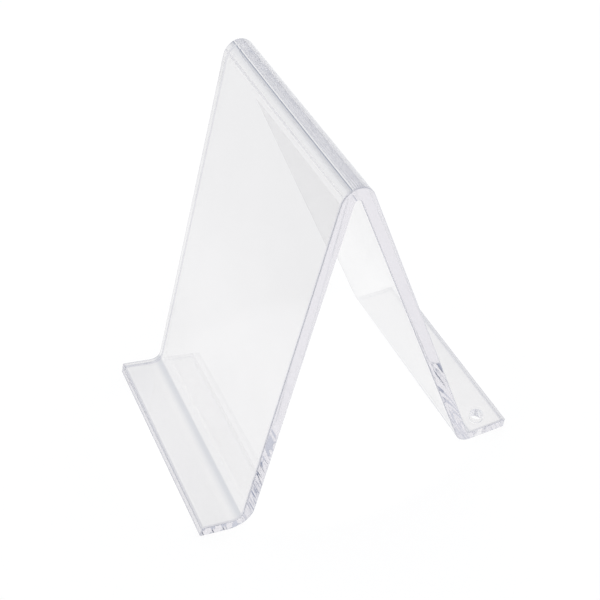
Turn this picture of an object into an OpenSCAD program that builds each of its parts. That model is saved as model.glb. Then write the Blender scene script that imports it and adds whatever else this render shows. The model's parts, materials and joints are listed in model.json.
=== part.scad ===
// Plate display stand: one sheet of clear acrylic, cut to a plain rectangle and bent along
// three straight lines into a flat foot, a rear leg, a leaning panel and a front ledge.
// X runs along the bends, -Y is the front and +Z is up. The foot rests on Z = 0, and so does
// the underside of the bend between panel and ledge.

/* [Sheet] */
// Width of the sheet, along the bend lines
sheet_w = 75; // [40:1:160]
// Thickness of the sheet
sheet_t = 4; // [3:0.5:5]

/* [Panel] */
// Overall height, from the table to the top of the apex bend
stand_h = 126; // [90:1:240]
// Lean of the panel, back from upright, in degrees
panel_lean = 12.5; // [8:0.5:25]

/* [Ledge] */
// Clear depth of the ledge, from the panel's face out to the tip
ledge_d = 13.5; // [10:0.5:40]
// Upward tilt of the ledge towards its tip, in degrees
ledge_tilt = 12; // [0:0.5:20]

/* [Leg] */
// Lean of the rear leg, forward from upright, in degrees
leg_lean = 22; // [15:0.5:35]

/* [Foot] */
// Depth of the foot's underside, from the leg's front face to the back edge
foot_d = 18; // [18:1:40]

/* [Bends] */
// Inside radius of the bend between panel and ledge
ledge_bend_r = 3.5; // [1:0.5:4]
// Inside radius of the bend at the apex
apex_bend_r = 1; // [0.5:0.5:3]
// Inside radius of the bend between leg and foot
foot_bend_r = 2.75; // [1:0.25:3]

/* [Screw hole] */
// Diameter of the screw hole in the foot
hole_d = 4.5; // [3:0.5:6]
// Distance from the hole's centre to the nearer side edge
hole_from_side = 6; // [5:0.5:15]
// Distance from the hole's centre to the back edge
hole_from_back = 8; // [5:0.5:9]

/* [Hidden] */
$fn = 96;
// How far a cutting shape runs past the faces that it cuts
overrun = 1;
// A heated bend is drawn a hair thinner than the sheet: its curved faces lie this far
// inside the faces of the flats that it joins
bend_inset = 0.01;
// How far each end of a bend reaches into the flat that it joins
bend_lap = 0.05;

half_t = sheet_t / 2;
// Slopes of the leg and the panel, up from the table, in degrees
leg_slope = 90 - leg_lean;
panel_slope = 90 - panel_lean;
// How far each bend turns the sheet, going from the foot to the ledge; left is positive
foot_turn = leg_slope;
apex_turn = -leg_slope - panel_slope;
ledge_turn = panel_slope + ledge_tilt;
// Radius of each bend at the middle of the sheet's thickness
foot_mid_r = foot_bend_r + half_t;
apex_mid_r = apex_bend_r + half_t;
ledge_mid_r = ledge_bend_r + half_t;
// Heights of the two upper bend centres: the apex bend reaches the overall height, and the
// ledge bend comes down to the table, but for its inset
apex_centre_z = stand_h - apex_bend_r - sheet_t + bend_inset;
ledge_centre_z = ledge_bend_r + sheet_t;
// Heights of the middle line where the leg and the panel meet their bends
leg_foot_z = half_t + foot_mid_r * (1 - cos(leg_slope));
leg_top_z = apex_centre_z + apex_mid_r * cos(leg_slope);
panel_top_z = apex_centre_z + apex_mid_r * cos(panel_slope);
panel_foot_z = ledge_centre_z - ledge_mid_r * cos(panel_slope);
// Straight length of each flat, between its bends
foot_run = foot_d - (foot_bend_r + sheet_t) * tan(foot_turn / 2);
leg_run = (leg_top_z - leg_foot_z) / sin(leg_slope);
panel_run = (panel_top_z - panel_foot_z) / sin(panel_slope);
ledge_run = ledge_d - ledge_bend_r * tan(ledge_turn / 2);
// Depth of the whole stand, from the foot's back edge to the ledge's tip
foot_depth = foot_run + foot_mid_r * sin(leg_slope);
leg_depth = leg_run * cos(leg_slope) + apex_mid_r * sin(leg_slope);
panel_depth = panel_run * cos(panel_slope) + (apex_mid_r + ledge_mid_r) * sin(panel_slope);
ledge_depth = ledge_run * cos(ledge_tilt) + (ledge_mid_r + half_t) * sin(ledge_tilt);
stand_depth = foot_depth + leg_depth + panel_depth + ledge_depth;

// One flat of the sheet in side view, running along +X from the origin
module flat(run) {
    translate([0, -half_t])
        square([run, sheet_t]);
}

// One bend in side view: the part of a ring about the origin from where the sheet arrives,
// travelling along +X, to where it has turned. Both of its ends lap into the flats.
module bend(bend_r, turn) {
    outer_r = bend_r + sheet_t;
    half_plane = 2 * (outer_r + overrun);
    intersection() {
        difference() {
            circle(r = outer_r - bend_inset);
            circle(r = bend_r + bend_inset);
        }
        translate([-bend_lap, -half_plane / 2])
            square(half_plane);
        rotate(turn)
            translate([bend_lap - half_plane, -half_plane / 2])
                square(half_plane);
    }
}

// A flat with a bend at its end, which carries the rest of the sheet as its children
module flat_and_bend(run, bend_r, turn) {
    centre_offset = sign(turn) * (bend_r + half_t);
    flat(run);
    translate([run, centre_offset]) {
        bend(bend_r, turn);
        rotate(turn)
            translate([0, -centre_offset])
                children();
    }
}

// Side view of the bent sheet, from the foot's back edge to the ledge's tip
module sheet_profile() {
    translate([-stand_depth / 2, half_t])
        flat_and_bend(foot_run, foot_bend_r, foot_turn)
            flat_and_bend(leg_run, apex_bend_r, apex_turn)
                flat_and_bend(panel_run, ledge_bend_r, ledge_turn)
                    flat(ledge_run);
}

// The bent sheet, with its one screw hole near the right-hand end of the foot
module bent_sheet() {
    color([0.84, 0.87, 0.92, 0.45])
        difference() {
            translate([sheet_w / 2, 0, 0])
                rotate([90, 0, -90])
                    linear_extrude(height = sheet_w)
                        sheet_profile();
            translate([sheet_w / 2 - hole_from_side, stand_depth / 2 - hole_from_back, -overrun])
                cylinder(d = hole_d, h = sheet_t + 2 * overrun);
        }
}

bent_sheet();
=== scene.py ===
import json
import math
from collections import namedtuple

import bpy
from mathutils import Matrix, Vector


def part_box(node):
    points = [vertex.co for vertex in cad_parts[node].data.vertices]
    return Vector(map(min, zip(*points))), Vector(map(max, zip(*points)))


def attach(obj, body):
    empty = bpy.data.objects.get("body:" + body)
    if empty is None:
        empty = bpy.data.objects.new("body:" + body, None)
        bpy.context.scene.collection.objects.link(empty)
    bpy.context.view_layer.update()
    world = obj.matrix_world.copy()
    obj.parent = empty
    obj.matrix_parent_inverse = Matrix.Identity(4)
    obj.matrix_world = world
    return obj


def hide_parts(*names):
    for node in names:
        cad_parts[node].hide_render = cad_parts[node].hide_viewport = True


# Sizes are in mm and angles in degrees, unless a comment says otherwise
MM = 0.001

# ---- The frame, and the sizes that the stand is drawn from ----------------------------------

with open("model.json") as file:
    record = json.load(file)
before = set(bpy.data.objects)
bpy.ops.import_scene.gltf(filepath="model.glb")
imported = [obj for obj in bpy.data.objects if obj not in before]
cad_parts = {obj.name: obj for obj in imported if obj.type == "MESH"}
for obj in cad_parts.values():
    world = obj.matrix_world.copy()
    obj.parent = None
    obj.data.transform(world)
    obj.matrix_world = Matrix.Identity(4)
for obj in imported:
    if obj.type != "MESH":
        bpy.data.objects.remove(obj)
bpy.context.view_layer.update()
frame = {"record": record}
low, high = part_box("bent_sheet")
hole = next(m for m in frame["record"]["mounts"] if m["name"] == "foot_screw_hole")

WIDTH = (high.x - low.x) / MM
HEIGHT = (high.z - low.z) / MM
BACK = high.y / MM
THICK = hole["dims"]["length_mm"]
HALF_T = THICK / 2
HOLE_R = hole["dims"]["r_mm"]
HOLE_X = hole["pos_m"][0] / MM
HOLE_FROM_BACK = BACK - hole["pos_m"][1] / MM

FOOT_DEPTH = 18.0  # underside of the foot, from the leg's front face to the back edge
LEDGE_DEPTH = 13.5  # top of the ledge, from the panel's face to the tip
LEG_LEAN = 22.0  # forward from upright
PANEL_LEAN = 12.5  # back from upright
LEDGE_TILT = 12.0  # up towards the tip
FOOT_BEND_R = 2.75  # the inside radii of the three bends
APEX_BEND_R = 1.0
LEDGE_BEND_R = 3.5

EDGE_R = 0.4  # the polished edges are rounded by this much
RIM_R = 0.25  # the screw hole's rims, likewise
EDGE_STEPS = 5  # cells around a rounded edge
BEND_STEP = 2.0  # degrees of bend between two rows of points
FINE_STEPS = 20  # short steps between two rows, by which a bend's curve is followed
EASE = 0.3  # how much a bend's curvature fades at its ends: 0 is a plain arc, 1 fades to flat
CREASE_FROM, CREASE_AT = 0.2, 0.34  # where in a bend its crease starts, and is sharpest
HEAT_FADE = 9.0  # how far the softened sheet reaches into the flats on each side of a bend
PATCH_HALF = 4.0  # half the side of the square of sheet that is drawn around the hole
PATCH_CELLS = 16  # cells along one side of that square
PATCH_CELL = 2 * PATCH_HALF / PATCH_CELLS
PATCH_RINGS = (0.0, 0.35, 0.65, 0.85, 1.0)  # shares of the way from the square in to the rim
SIDE_CELLS = 6  # cells down a straight side
FLAT_STEP = 3.0  # between two lines of points on a flat
GRID_PER_MM = 5000  # points that round to the same place on this fine a grid are one
NEAR = 1e-6  # places this close are the same


# ---- The bent sheet -------------------------------------------------------------------------

def rad(degrees):
    return math.radians(degrees)


def path_runs():
    """The flats and the bends from the foot's back edge to the ledge's tip: (run, 0) or
    (inside radius, turn)."""
    leg_slope = 90 - LEG_LEAN
    panel_slope = 90 - PANEL_LEAN
    foot_run = FOOT_DEPTH - (FOOT_BEND_R + THICK) * math.tan(rad(leg_slope / 2))
    ledge_run = LEDGE_DEPTH - LEDGE_BEND_R * math.tan(rad((panel_slope + LEDGE_TILT) / 2))
    foot_r, apex_r, ledge_r = (r + HALF_T for r in (FOOT_BEND_R, APEX_BEND_R, LEDGE_BEND_R))
    apex_z = HEIGHT - APEX_BEND_R - THICK
    ledge_z = LEDGE_BEND_R + THICK
    leg_foot_z = HALF_T + foot_r * (1 - math.cos(rad(leg_slope)))
    leg_top_z = apex_z + apex_r * math.cos(rad(leg_slope))
    panel_top_z = apex_z + apex_r * math.cos(rad(panel_slope))
    panel_foot_z = ledge_z - ledge_r * math.cos(rad(panel_slope))
    return [
        (foot_run, 0),
        (FOOT_BEND_R, leg_slope),
        ((leg_top_z - leg_foot_z) / math.sin(rad(leg_slope)), 0),
        (APEX_BEND_R, -leg_slope - panel_slope),
        ((panel_top_z - panel_foot_z) / math.sin(rad(panel_slope)), 0),
        (LEDGE_BEND_R, panel_slope + LEDGE_TILT),
        (ledge_run, 0),
    ]


Station = namedtuple("Station", "at heading end along bent")


def crease(share):
    """How sharply the sheet is creased at a share of a bend: it rises fast and falls slowly."""
    if share < CREASE_AT:
        return max(0.0, (share - CREASE_FROM) / (CREASE_AT - CREASE_FROM))
    return (1 - share) / (1 - CREASE_AT)


def bend_curve(bend_r, turn):
    """Points (ahead, aside, turned, bent) along a bend made by heating, how much of each flat
    it takes up beyond a plain arc, and its length from point to point. Its middle lies where
    the middle of the plain arc would. Bent goes from 0 in the flats to 1, or -1 for a turn to
    the right, at the crease of the bend."""
    steps = 2 * round(abs(turn) / BEND_STEP / 2)
    fine_steps = steps * FINE_STEPS
    ahead, aside, curve = 0.0, 0.0, []

    def turned(share):
        return turn * (share - EASE * math.sin(2 * math.pi * share) / (2 * math.pi))

    for i in range(fine_steps):
        now = rad(turned((i + 0.5) / fine_steps))
        ahead, aside = ahead + math.cos(now), aside + math.sin(now)
        if i % FINE_STEPS == FINE_STEPS - 1:
            share = (i + 1) / fine_steps
            bent = math.copysign(crease(share), turn)
            curve.append((ahead, aside, turned(share), bent))
    tangent = aside / math.sin(rad(turn))
    middle = curve[steps // 2 - 1]
    radius = bend_r + HALF_T
    plain_reach = radius * (1 / math.cos(rad(turn / 2)) - 1)
    scale = plain_reach / math.hypot(middle[0] - tangent, middle[1])
    extra = tangent * scale - radius * math.tan(rad(abs(turn) / 2))
    return [(x * scale, y * scale, *rest) for x, y, *rest in curve], extra, scale * FINE_STEPS


def stations():
    """Places along the sheet's middle line, and where each bend starts and ends along it. A
    station's end angle is 0 along the sheet, and goes to 90 over the rounded edge at each end,
    with its sign."""
    runs = path_runs()
    curves = [bend_curve(*run) if run[1] else ([], 0.0, 0.0) for run in runs]
    rows, heated = [], []
    at, heading, along = (-BACK, HALF_T), 0.0, 0.0

    def row(distance, end=0.0, aside=0.0, turned=0.0, bent=0.0, travelled=None):
        c, s = math.cos(rad(heading)), math.sin(rad(heading))
        where = (at[0] + distance * c - aside * s, at[1] + distance * s + aside * c)
        gone = distance if travelled is None else travelled
        return Station(where, heading + turned, end, along + gone, bent)

    for i in range(EDGE_STEPS, 0, -1):
        angle = 90.0 * i / EDGE_STEPS
        rows.append(row(EDGE_R * (1 - math.sin(rad(angle))), -angle))
    for number, (size, turn) in enumerate(runs):
        last = number == len(runs) - 1
        if turn:
            curve, _, stride = curves[number]
            bend = [
                row(x, 0.0, y, angle, bent, stride * (i + 1))
                for i, (x, y, angle, bent) in enumerate(curve)
            ]
            rows += bend
            heated.append((along, bend[-1].along))
            at, heading, along = bend[-1].at, heading + turn, bend[-1].along
            continue
        size -= sum(curves[n][1] for n in (number - 1, number + 1) if 0 <= n < len(runs))
        if number == 0:
            first = HOLE_FROM_BACK - PATCH_HALF
            beside_hole = [first + PATCH_CELL * i for i in range(PATCH_CELLS + 1)]
            stops = [EDGE_R, first / 2, *beside_hole, size]
        else:
            end = size - EDGE_R if last else size
            count = max(2, round(end / FLAT_STEP))
            stops = [end * i / count for i in range(1, count + 1)]
        rows += [row(s) for s in stops]
        if last:
            for i in range(1, EDGE_STEPS + 1):
                angle = 90.0 * i / EDGE_STEPS
                rows.append(row(size - EDGE_R * (1 - math.sin(rad(angle))), angle))
        at, along = row(size).at, along + size
    return rows, heated


def across_lines():
    """X of the lines of points along the sheet, from -X to +X."""
    left, right = HOLE_X - PATCH_HALF, HOLE_X + PATCH_HALF
    edge = WIDTH / 2 - EDGE_R
    count = round((left + edge) / FLAT_STEP)
    lines = [-edge + (left + edge) * i / count for i in range(count)]
    lines += [left + PATCH_CELL * i for i in range(PATCH_CELLS + 1)]
    return lines + [(right + edge) / 2, edge]


def side_heights():
    """Heights of the points down a straight side, between its two rounded edges."""
    return [(HALF_T - EDGE_R) * (1 - 2 * i / SIDE_CELLS) for i in range(SIDE_CELLS + 1)]


class Skin:
    """A closed skin with one true normal at each point, and the point's place in the flat
    sheet: how far along its path, how far through its thickness, and how sharply the sheet is
    bent there. Points that fall together are one."""

    def __init__(self):
        self.points, self.normals, self.faces, self.known = [], [], [], {}
        self.along, self.through, self.bent = [], [], []

    def point(self, place, normal, along, through, bent=0.0):
        key = tuple(round(c * GRID_PER_MM) for c in place)
        if key not in self.known:
            self.known[key] = len(self.points)
            self.points.append(tuple(c * MM for c in place))
            self.normals.append(Vector(normal).normalized())
            self.along.append(along)
            self.through.append(through)
            self.bent.append(bent)
        return self.known[key]

    def face(self, *corners):
        kept = [c for i, c in enumerate(corners) if c != corners[i - 1]]
        if len(set(kept)) == len(kept) > 2:
            self.faces.append(kept)


def place(station, x, t):
    """World place, in mm, of the point x across and t up from the middle line at a station."""
    (forward, up), h = station.at, rad(station.heading)
    return (x, -(forward - t * math.sin(h)), up + t * math.cos(h))


def direction(station, across, up, along=0.0):
    """World direction from its parts across the sheet, along its normal and along its path."""
    h = rad(station.heading)
    return (
        across,
        -(along * math.cos(h) - up * math.sin(h)),
        along * math.sin(h) + up * math.cos(h),
    )


def ring_points():
    """The section's outline, from -X to +X over the top face and back under it: (x, t, the
    normal's part in x, its part in t)."""
    lines = across_lines()
    side = side_heights()
    half = WIDTH / 2
    ring = [(x, HALF_T, 0, 1) for x in lines]
    arc = [90.0 * i / EDGE_STEPS for i in range(1, EDGE_STEPS)]
    ring += [(half, HALF_T, math.sin(rad(a)), math.cos(rad(a))) for a in arc]
    ring += [(half, t, 1, 0) for t in side]
    ring += [(half, -HALF_T, math.cos(rad(a)), -math.sin(rad(a))) for a in arc]
    ring += [(x, -HALF_T, 0, -1) for x in reversed(lines)]
    ring += [(-half, -HALF_T, -math.sin(rad(a)), -math.cos(rad(a))) for a in arc]
    ring += [(-half, -t, -1, 0) for t in side]
    ring += [(-half, HALF_T, -math.cos(rad(a)), math.sin(rad(a))) for a in arc]
    return ring


def ring_point(skin, station, spot):
    """One point of the section's outline at one station. The outline is that of a rounded bar:
    an inner rectangle, and EDGE_R out from it along the normal."""
    x, t, nx, nt = spot
    angle = rad(station.end)
    grow = EDGE_R * math.cos(angle)
    inner_x = max(-WIDTH / 2 + EDGE_R, min(WIDTH / 2 - EDGE_R, x))
    inner_t = max(EDGE_R - HALF_T, min(HALF_T - EDGE_R, t))
    through = inner_t + nt * grow
    return skin.point(
        place(station, inner_x + nx * grow, through),
        direction(station, nx * math.cos(angle), nt * math.cos(angle), math.sin(angle)),
        station.along,
        through,
        station.bent,
    )


def hole_patch(skin, up):
    """The square of flat sheet around the hole on one face, and half of the hole's wall."""
    corner = PATCH_HALF
    sides = [-corner + PATCH_CELL * i for i in range(PATCH_CELLS)]
    outline = [(s, -corner) for s in sides] + [(corner, s) for s in sides]
    outline += [(-s, corner) for s in sides] + [(-corner, -s) for s in sides]
    hole_y = BACK - HOLE_FROM_BACK

    def spot(dx, dy, height, normal):
        """A point from its place around the hole and its height above the sheet's middle."""
        return skin.point(
            (HOLE_X + dx, hole_y + dy, HALF_T + height), normal, HOLE_FROM_BACK - dy, height
        )

    rings = []
    for share in PATCH_RINGS:
        ring = []
        for dx, dy in outline:
            k = 1 + ((HOLE_R + RIM_R) / math.hypot(dx, dy) - 1) * share
            ring.append(spot(dx * k, dy * k, up * HALF_T, (0, 0, up)))
        rings.append(ring)
    for i in range(1, EDGE_STEPS + 2):
        a = rad(min(90.0, 90.0 * i / EDGE_STEPS))
        r = HOLE_R + RIM_R * (1 - math.sin(a))
        height = up * (HALF_T - RIM_R * (1 - math.cos(a))) if i <= EDGE_STEPS else 0.0
        ring = []
        for dx, dy in outline:
            reach = math.hypot(dx, dy)
            ux, uy = dx / reach, dy / reach
            normal = (-ux * math.sin(a), -uy * math.sin(a), up * math.cos(a))
            ring.append(spot(ux * r, uy * r, height, normal))
        rings.append(ring)
    for a, b in zip(rings, rings[1:]):
        for i in range(len(a)):
            j = (i + 1) % len(a)
            quad = (a[i], a[j], b[j], b[i])
            skin.face(*(quad if up > 0 else reversed(quad)))


def patch_cells(rows, lines, ring):
    """The cells of the grid of rows and ring points whose place hole_patch() takes: the rows,
    and the ring's cells on the top face and on the underside."""
    first_row = next(
        i for i, row in enumerate(rows)
        if abs(row.along - (HOLE_FROM_BACK - PATCH_HALF)) < NEAR
    )
    first_line = next(i for i, x in enumerate(lines) if abs(x - (HOLE_X - PATCH_HALF)) < NEAR)
    under_start = next(i for i, spot in enumerate(ring) if spot[3] == -1)
    under_first = under_start + len(lines) - 1 - (first_line + PATCH_CELLS)
    return [range(first, first + PATCH_CELLS) for first in (first_row, first_line, under_first)]


def add_end_face(skin, row, way, lines):
    """The flat of one end of the sheet, which looks along the path (way 1) or against it."""
    face = [
        [
            skin.point(place(row, x, t), direction(row, 0, 0, way), row.along, t)
            for t in side_heights()
        ]
        for x in lines
    ]
    for a, b in zip(face, face[1:]):
        for j in range(SIDE_CELLS):
            quad = (a[j], b[j], b[j + 1], a[j + 1])
            skin.face(*(quad if way < 0 else reversed(quad)))


def heat(along, heated):
    """1 in a bend, fading to 0 in the flats beside it."""
    gap = min(max(start - along, along - end, 0.0) for start, end in heated)
    share = max(0.0, 1 - gap / HEAT_FADE)
    return share * share * (3 - 2 * share)


def bent_sheet():
    """The stand as one closed skin, with marks on its points for the material."""
    skin = Skin()
    rows, heated = stations()
    ring = ring_points()
    lines = across_lines()
    grid = [[ring_point(skin, row, spot) for spot in ring] for row in rows]
    patch_rows, top_cells, under_cells = patch_cells(rows, lines, ring)
    for i in range(len(rows) - 1):
        for j in range(len(ring)):
            if i in patch_rows and (j in top_cells or j in under_cells):
                continue
            k = (j + 1) % len(ring)
            skin.face(grid[i][j], grid[i + 1][j], grid[i + 1][k], grid[i][k])
    hole_patch(skin, 1)
    hole_patch(skin, -1)
    add_end_face(skin, rows[0], -1, lines)
    add_end_face(skin, rows[-1], 1, lines)

    mesh = bpy.data.meshes.new("clear_bent_sheet")
    mesh.from_pydata(skin.points, [], skin.faces)
    mesh.shade_smooth()
    mesh.normals_split_custom_set_from_vertices([tuple(n) for n in skin.normals])
    mesh.validate()
    marks = (
        ("along", skin.along),
        ("through", skin.through),
        ("bent", skin.bent),
        ("heat", [heat(along, heated) for along in skin.along]),
    )
    for name, values in marks:
        mark = mesh.attributes.new(name, "FLOAT", "POINT")
        mark.data.foreach_set("value", values)
    mesh.materials.append(acrylic(rows[-1].along))
    piece = bpy.data.objects.new("clear_bent_sheet", mesh)
    bpy.context.scene.collection.objects.link(piece)
    return piece


# ---- Materials ------------------------------------------------------------------------------

def new_material(name):
    material = bpy.data.materials.new(name)
    material.use_nodes = True
    nodes = material.node_tree.nodes
    nodes.clear()
    output = nodes.new("ShaderNodeOutputMaterial")
    shader = nodes.new("ShaderNodeBsdfPrincipled")
    material.node_tree.links.new(shader.outputs[0], output.inputs["Surface"])
    return material, shader, output


class Graph:
    """Short hands for the nodes of one material, or of the world."""

    def __init__(self, owner):
        self.nodes, self.link = owner.node_tree.nodes, owner.node_tree.links.new

    def feed(self, socket, value):
        if isinstance(value, (int, float, tuple)):
            socket.default_value = value
        else:
            self.link(value, socket)

    def maths(self, operation, a, b=0.0):
        node = self.nodes.new("ShaderNodeMath")
        node.operation = operation
        self.feed(node.inputs[0], a)
        self.feed(node.inputs[1], b)
        return node.outputs[0]

    def length(self, a, b):
        """The length of an arrow from its two parts."""
        squares = (self.maths("MULTIPLY", part, part) for part in (a, b))
        return self.maths("SQRT", self.maths("ADD", *squares))

    def position(self):
        """X, y and z of the point, in mm."""
        where = self.nodes.new("ShaderNodeTexCoord").outputs["Object"]
        split = self.nodes.new("ShaderNodeSeparateXYZ")
        self.link(where, split.inputs[0])
        return [self.maths("DIVIDE", part, MM) for part in split.outputs]

    def mark(self, name):
        node = self.nodes.new("ShaderNodeAttribute")
        node.attribute_name = name
        return node.outputs["Fac"]

    def remap(self, value, start, end, to_start=0.0, to_end=1.0):
        node = self.nodes.new("ShaderNodeMapRange")
        node.interpolation_type = "SMOOTHSTEP"
        names = ("Value", "From Min", "From Max", "To Min", "To Max")
        for name, number in zip(names, (value, start, end, to_start, to_end)):
            self.feed(node.inputs[name], number)
        return node.outputs[0]

    def place(self, x, y, z, *grain):
        """A vector of x, y and z, each divided by the length of the grain along it."""
        node = self.nodes.new("ShaderNodeCombineXYZ")
        for socket, value, length in zip(node.inputs, (x, y, z), grain):
            self.feed(socket, self.maths("DIVIDE", value, length))
        return node.outputs[0]

    def noise(self, where, detail=2.0):
        node = self.nodes.new("ShaderNodeTexNoise")
        self.feed(node.inputs["Vector"], where)
        node.inputs["Scale"].default_value = 1.0
        node.inputs["Detail"].default_value = detail
        return node.outputs["Fac"]

    def blend(self, share, a, b, mode="MIX"):
        node = self.nodes.new("ShaderNodeMix")
        node.data_type = "RGBA"
        node.blend_type = mode
        self.feed(node.inputs["Factor"], share)
        self.feed(node.inputs["A"], a)
        self.feed(node.inputs["B"], b)
        return node.outputs["Result"]


# The sheet's own tone, and a darker tone used both for its clouds and for painted shade towards the
# apex
SHEET_PALE, SHEET_CLOUD_AND_SHADE = (0.877, 0.873, 0.879, 1), (0.83, 0.827, 0.834, 1)
EDGE_TINT = (0.815, 0.8, 0.835, 1)
END_TINT = (0.64, 0.63, 0.67, 1)  # the two long edges, along the foot and the ledge
ARRIS_PAINTED_SHADE = (0.6, 0.6, 0.65, 1)  # painted shade: dark lines where a face meets a side, in place of those the rounded edges refract
DRILL_TINT = (0.98, 0.98, 0.98, 1)  # the hole's wall
BEND_PAINTED_SHADE = (0.56, 0.58, 0.63, 1)  # painted shade on the inside of a bend
PAINTED_SHADE_FROM = 0.4 * HEIGHT  # painted shade: the sheet is drawn darker from this height up to the apex
CLOUD, CLOUD_SHARE = 40.0, 0.4  # size of the clouds in the sheet, and how deep they are
CLOUD_EDGES = (0.35, 0.65)  # where in their noise the clouds start, and are full
RIPPLE_ACROSS, RIPPLE_ALONG, RIPPLE_RISE = 60.0, 4.0, 0.003  # ripples in the heated bends
GROOVE_ALONG, GROOVE_THROUGH, GROOVE_RISE = 16.0, 0.6, 0.0015  # polishing marks on the edges
GROOVE_EDGES, GROOVE_ROUGH = (0.4, 0.7), 0.03
WAVE, WAVE_RISE = 30.0, 0.02  # the slow waviness of a cast sheet
HAIR_LONG, HAIR_WIDE = 30.0, 0.25  # fine wiping scratches
HAIR_EDGES, HAIR_ROUGH = (0.76, 0.82), 0.06
REFRACTION = 1.49
ABSORB_COLOUR, ABSORB_PER_METRE = (0.5, 0.5, 0.62, 1), 0.4

# A point of the skin, as sockets of the material: its place in the room, its place in the flat
# sheet, how bent and how heated the sheet is there, and how far it is an edge's or a face's
SkinPoint = namedtuple("SkinPoint", "x y z along through bent heat depth on_edge on_face")


def skin_point(g):
    """Where the shaded point is. Depth is how far it is from the middle of the thickness."""
    x, y, z = g.position()
    along, through, bent, heated = (g.mark(n) for n in ("along", "through", "bent", "heat"))
    depth = g.maths("ABSOLUTE", through)
    on_edge = g.remap(depth, HALF_T - EDGE_R, HALF_T, 1.0, 0.0)
    on_face = g.maths("SUBTRACT", 1.0, on_edge)
    return SkinPoint(x, y, z, along, through, bent, heated, depth, on_edge, on_face)


def sheet_tint(g, here, length):
    """Clouded faces, painted shade that darkens them towards the apex, tints for the edges and the
    hole's wall, and painted shade on the arrises between faces and sides and inside the bends."""
    from_end = g.maths("MINIMUM", here.along, g.maths("SUBTRACT", length, here.along))
    from_side = g.maths("SUBTRACT", WIDTH / 2, g.maths("ABSOLUTE", here.x))
    from_edge = g.maths("MINIMUM", from_end, from_side)
    near_edge = g.remap(from_edge, EDGE_R, 2 * EDGE_R, 1.0, 0.0)
    near_face = g.remap(here.depth, HALF_T - EDGE_R, HALF_T - EDGE_R / 2)
    # painted shade along the arrises, where a face meets a side
    arris_shade = g.maths("MULTIPLY", near_edge, near_face)
    off_x = g.maths("SUBTRACT", here.x, HOLE_X)
    off_y = g.maths("SUBTRACT", here.along, HOLE_FROM_BACK)
    in_hole = g.remap(g.length(off_x, off_y), HOLE_R + RIM_R / 2, HOLE_R + RIM_R, 1.0, 0.0)
    # painted shade on the inside faces of the bends
    inside = g.maths("DIVIDE", g.maths("MULTIPLY", here.bent, here.through), HALF_T)
    bend_shade = g.maths("MULTIPLY", g.remap(inside, 0.0, 1.0), here.on_face)

    clouds = g.noise(g.place(here.x, here.y, here.z, CLOUD, CLOUD, CLOUD))
    clouded = g.maths("MULTIPLY", g.remap(clouds, *CLOUD_EDGES), CLOUD_SHARE)
    # painted shade: the faces darken from a set height up to the apex, on top of the clouds
    cloud_and_shade = g.maths("ADD", clouded, g.remap(here.z, PAINTED_SHADE_FROM, HEIGHT))
    tint = g.blend(cloud_and_shade, SHEET_PALE, SHEET_CLOUD_AND_SHADE)
    tint = g.blend(here.on_edge, tint, EDGE_TINT)
    tint = g.blend(g.remap(from_end, 0.0, EDGE_R / 2, 1.0, 0.0), tint, END_TINT)
    tint = g.blend(arris_shade, tint, ARRIS_PAINTED_SHADE)
    tint = g.blend(bend_shade, tint, BEND_PAINTED_SHADE)
    return g.blend(in_hole, tint, DRILL_TINT)


def sheet_relief(g, here, grooves):
    """A normal for the grooves of the edges, the ripples of the bends and the slow waves."""
    ripples = g.noise(
        g.place(here.x, here.along, here.through, RIPPLE_ACROSS, RIPPLE_ALONG, THICK), detail=1.0
    )
    waves = g.noise(g.place(here.x, here.y, here.z, WAVE, WAVE, WAVE), detail=0.0)
    relief = g.maths("MULTIPLY", g.maths("MULTIPLY", grooves, GROOVE_RISE), here.on_edge)
    rippled = g.maths("MULTIPLY", g.maths("MULTIPLY", ripples, here.heat), RIPPLE_RISE)
    relief = g.maths("ADD", relief, rippled)
    relief = g.maths("ADD", relief, g.maths("MULTIPLY", waves, WAVE_RISE))
    bump = g.nodes.new("ShaderNodeBump")
    bump.inputs["Strength"].default_value = 1.0
    bump.inputs["Distance"].default_value = MM
    g.link(relief, bump.inputs["Height"])
    return bump.outputs[0]


def sheet_roughness(g, here, grooves):
    """Fine scratches on the faces, and what the polishing left on the edges."""
    slant = g.maths("ADD", here.x, here.along)
    hairs = g.noise(
        g.place(slant, here.along, here.through, HAIR_LONG, HAIR_WIDE, THICK), detail=1.0
    )
    scratched = g.maths("MULTIPLY", g.remap(hairs, *HAIR_EDGES, 0.0, HAIR_ROUGH), here.on_face)
    polished = g.maths("MULTIPLY", g.remap(grooves, *GROOVE_EDGES, 0.0, GROOVE_ROUGH), here.on_edge)
    return g.maths("ADD", scratched, polished)


def acrylic(length):
    """Clear cast acrylic: faintly clouded and wavy, rippled where it was heated and bent,
    with polished edges that keep fine grooves. Length is that of the flat sheet."""
    material, shader, output = new_material("clear_acrylic")
    g = Graph(material)
    here = skin_point(g)
    grooves = g.noise(
        g.place(here.along, here.through, here.x, GROOVE_ALONG, GROOVE_THROUGH, GROOVE_ALONG),
        detail=1.0,
    )
    g.link(sheet_tint(g, here, length), shader.inputs["Base Color"])
    g.link(sheet_relief(g, here, grooves), shader.inputs["Normal"])
    g.link(sheet_roughness(g, here, grooves), shader.inputs["Roughness"])
    shader.inputs["IOR"].default_value = REFRACTION
    shader.inputs["Transmission Weight"].default_value = 1.0
    absorb = g.nodes.new("ShaderNodeVolumeAbsorption")
    absorb.inputs["Color"].default_value = ABSORB_COLOUR
    absorb.inputs["Density"].default_value = ABSORB_PER_METRE
    g.link(absorb.outputs[0], output.inputs["Volume"])
    return material


POOL_ACROSS, POOL_DEEP = 45.0, 65.0  # half sizes of the painted pool of brighter floor glow that the stand is in
POOL_EDGES = (0.9, 1.2)  # where its edge starts to fade and has faded, as shares of those
# painted glow of the floor: in the pool around the stand, and further out
POOL_GLOW, FLOOR_GLOW = 0.96, 0.925


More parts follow.
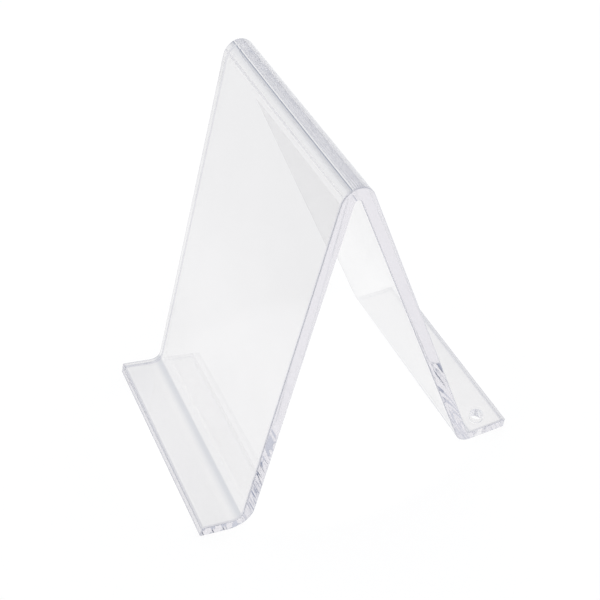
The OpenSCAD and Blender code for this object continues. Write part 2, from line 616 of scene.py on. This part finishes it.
def floor_paint():
    """A pale floor with painted glow from below, and a painted pool of brighter glow around the
    stand.
    """
    material, shader, _ = new_material("studio_floor")
    g = Graph(material)
    x, y, _ = g.position()
    reach = g.length(g.maths("DIVIDE", x, POOL_ACROSS), g.maths("DIVIDE", y, POOL_DEEP))
    # painted pool of light: the floor glows brighter around the stand
    glow = g.remap(reach, *POOL_EDGES, POOL_GLOW, FLOOR_GLOW)
    g.link(glow, shader.inputs["Emission Strength"])
    shader.inputs["Base Color"].default_value = (0.08, 0.08, 0.08, 1)
    shader.inputs["Roughness"].default_value = 0.9
    shader.inputs["Emission Color"].default_value = (1, 1, 1, 1)
    return material


# ---- Camera, light and floor ----------------------------------------------------------------

VIEW_AZIMUTH = 62.136
VIEW_ELEVATION = 44.363
VIEW_ROLL = 3.255
AIM = Vector((7.13, -10.09, 60.0)) * MM
AIM_DISTANCE = 323.56 * MM
LENS = 63.53
FLOOR_HALF = 6.0  # half the floor's side, in metres
FLOOR_DROP = 0.00002  # how far the floor lies below the stand, in metres, so that they are apart


def add_camera():
    data = bpy.data.cameras.new("camera")
    data.sensor_width = 36
    data.lens = LENS
    data.clip_start = 0.01
    data.clip_end = 50
    camera = bpy.data.objects.new("camera", data)
    bpy.context.scene.collection.objects.link(camera)
    az, el = rad(VIEW_AZIMUTH), rad(VIEW_ELEVATION)
    ahead = Vector((-math.sin(az) * math.cos(el), math.cos(az) * math.cos(el), -math.sin(el)))
    right = ahead.cross(Vector((0, 0, 1))).normalized()
    up = right.cross(ahead)
    c, s = math.cos(rad(VIEW_ROLL)), math.sin(rad(VIEW_ROLL))
    right, up = right * c + up * s, up * c - right * s
    turn = Matrix((right, up, -ahead)).transposed().to_4x4()
    camera.matrix_world = Matrix.Translation(AIM - ahead * AIM_DISTANCE) @ turn
    bpy.context.scene.camera = camera


def add_floor():
    mesh = bpy.data.meshes.new("studio_floor")
    f = FLOOR_HALF
    mesh.from_pydata([(-f, -f, 0), (f, -f, 0), (f, f, 0), (-f, f, 0)], [], [(0, 1, 2, 3)])
    floor = bpy.data.objects.new("studio_floor", mesh)
    floor.location.z = -FLOOR_DROP
    bpy.context.scene.collection.objects.link(floor)
    mesh.materials.append(floor_paint())


# The studio around the floor, by elevation: a white wall, grey-blue hangings above it, and the
# soft box overhead. Towards the back, a dark gap and a navy curtain come between the wall and
# the hangings, and the hangings are deeper in colour.
WALL_TOP = 13.5
GAP = (14.5, 17.0)
CURTAIN = (18.5, 26.0)
HANGINGS = (30.0, 43.0)
BOX_FROM = 50.0
WHITE = (1, 1, 1, 1)
HANGING_BLUE = (0.68, 0.71, 0.78, 1)
GAP_DARK = (0.12, 0.14, 0.2, 1)
CURTAIN_NAVY = (0.5, 0.54, 0.63, 1)
BACK_GREY = (0.72, 0.73, 0.77, 1)
BACKWARD = (0.2, 0.5)  # Y of the directions in which the back starts to show, and shows fully
BOUNCES = 160  # light runs a long way inside a clear sheet


def elevation_ramp(g, height, stops):
    """A colour ramp over the height of a direction, with its stops at elevations."""
    ramp = g.nodes.new("ShaderNodeValToRGB")
    g.link(height, ramp.inputs[0])
    ramp.color_ramp.interpolation = "EASE"
    elements = ramp.color_ramp.elements
    while len(elements) < len(stops):
        elements.new(0.5)  # its place is set below
    for element, (elevation, colour) in zip(elements, stops):
        element.position, element.color = math.sin(rad(elevation)), colour
    return ramp.outputs[0]


def add_light():
    world = bpy.data.worlds.new("studio")
    world.use_nodes = True
    bpy.context.scene.world = world
    g = Graph(world)
    split = g.nodes.new("ShaderNodeSeparateXYZ")
    g.link(g.nodes.new("ShaderNodeTexCoord").outputs["Generated"], split.inputs[0])
    height = split.outputs["Z"]
    all_round = elevation_ramp(g, height, [
        (WALL_TOP, WHITE), (GAP[0], HANGING_BLUE), (HANGINGS[1], HANGING_BLUE), (BOX_FROM, WHITE),
    ])
    at_back = elevation_ramp(g, height, [
        (WALL_TOP, WHITE), (GAP[0], GAP_DARK), (GAP[1], GAP_DARK),
        (CURTAIN[0], CURTAIN_NAVY), (CURTAIN[1], CURTAIN_NAVY),
        (HANGINGS[0], BACK_GREY), (HANGINGS[1], BACK_GREY), (BOX_FROM, WHITE),
    ])
    backward = g.remap(split.outputs["Y"], *BACKWARD)
    background = g.nodes["Background"]
    g.link(g.blend(backward, all_round, at_back, "MULTIPLY"), background.inputs["Color"])
    background.inputs["Strength"].default_value = 1.0


scene = bpy.context.scene
scene.view_settings.view_transform = "Standard"
scene.view_settings.look = "None"
scene.cycles.max_bounces = BOUNCES
scene.cycles.transmission_bounces = BOUNCES
scene.cycles.glossy_bounces = BOUNCES

add_camera()
add_floor()
add_light()
sheet = bent_sheet()
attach(sheet, "root")
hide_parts("bent_sheet")
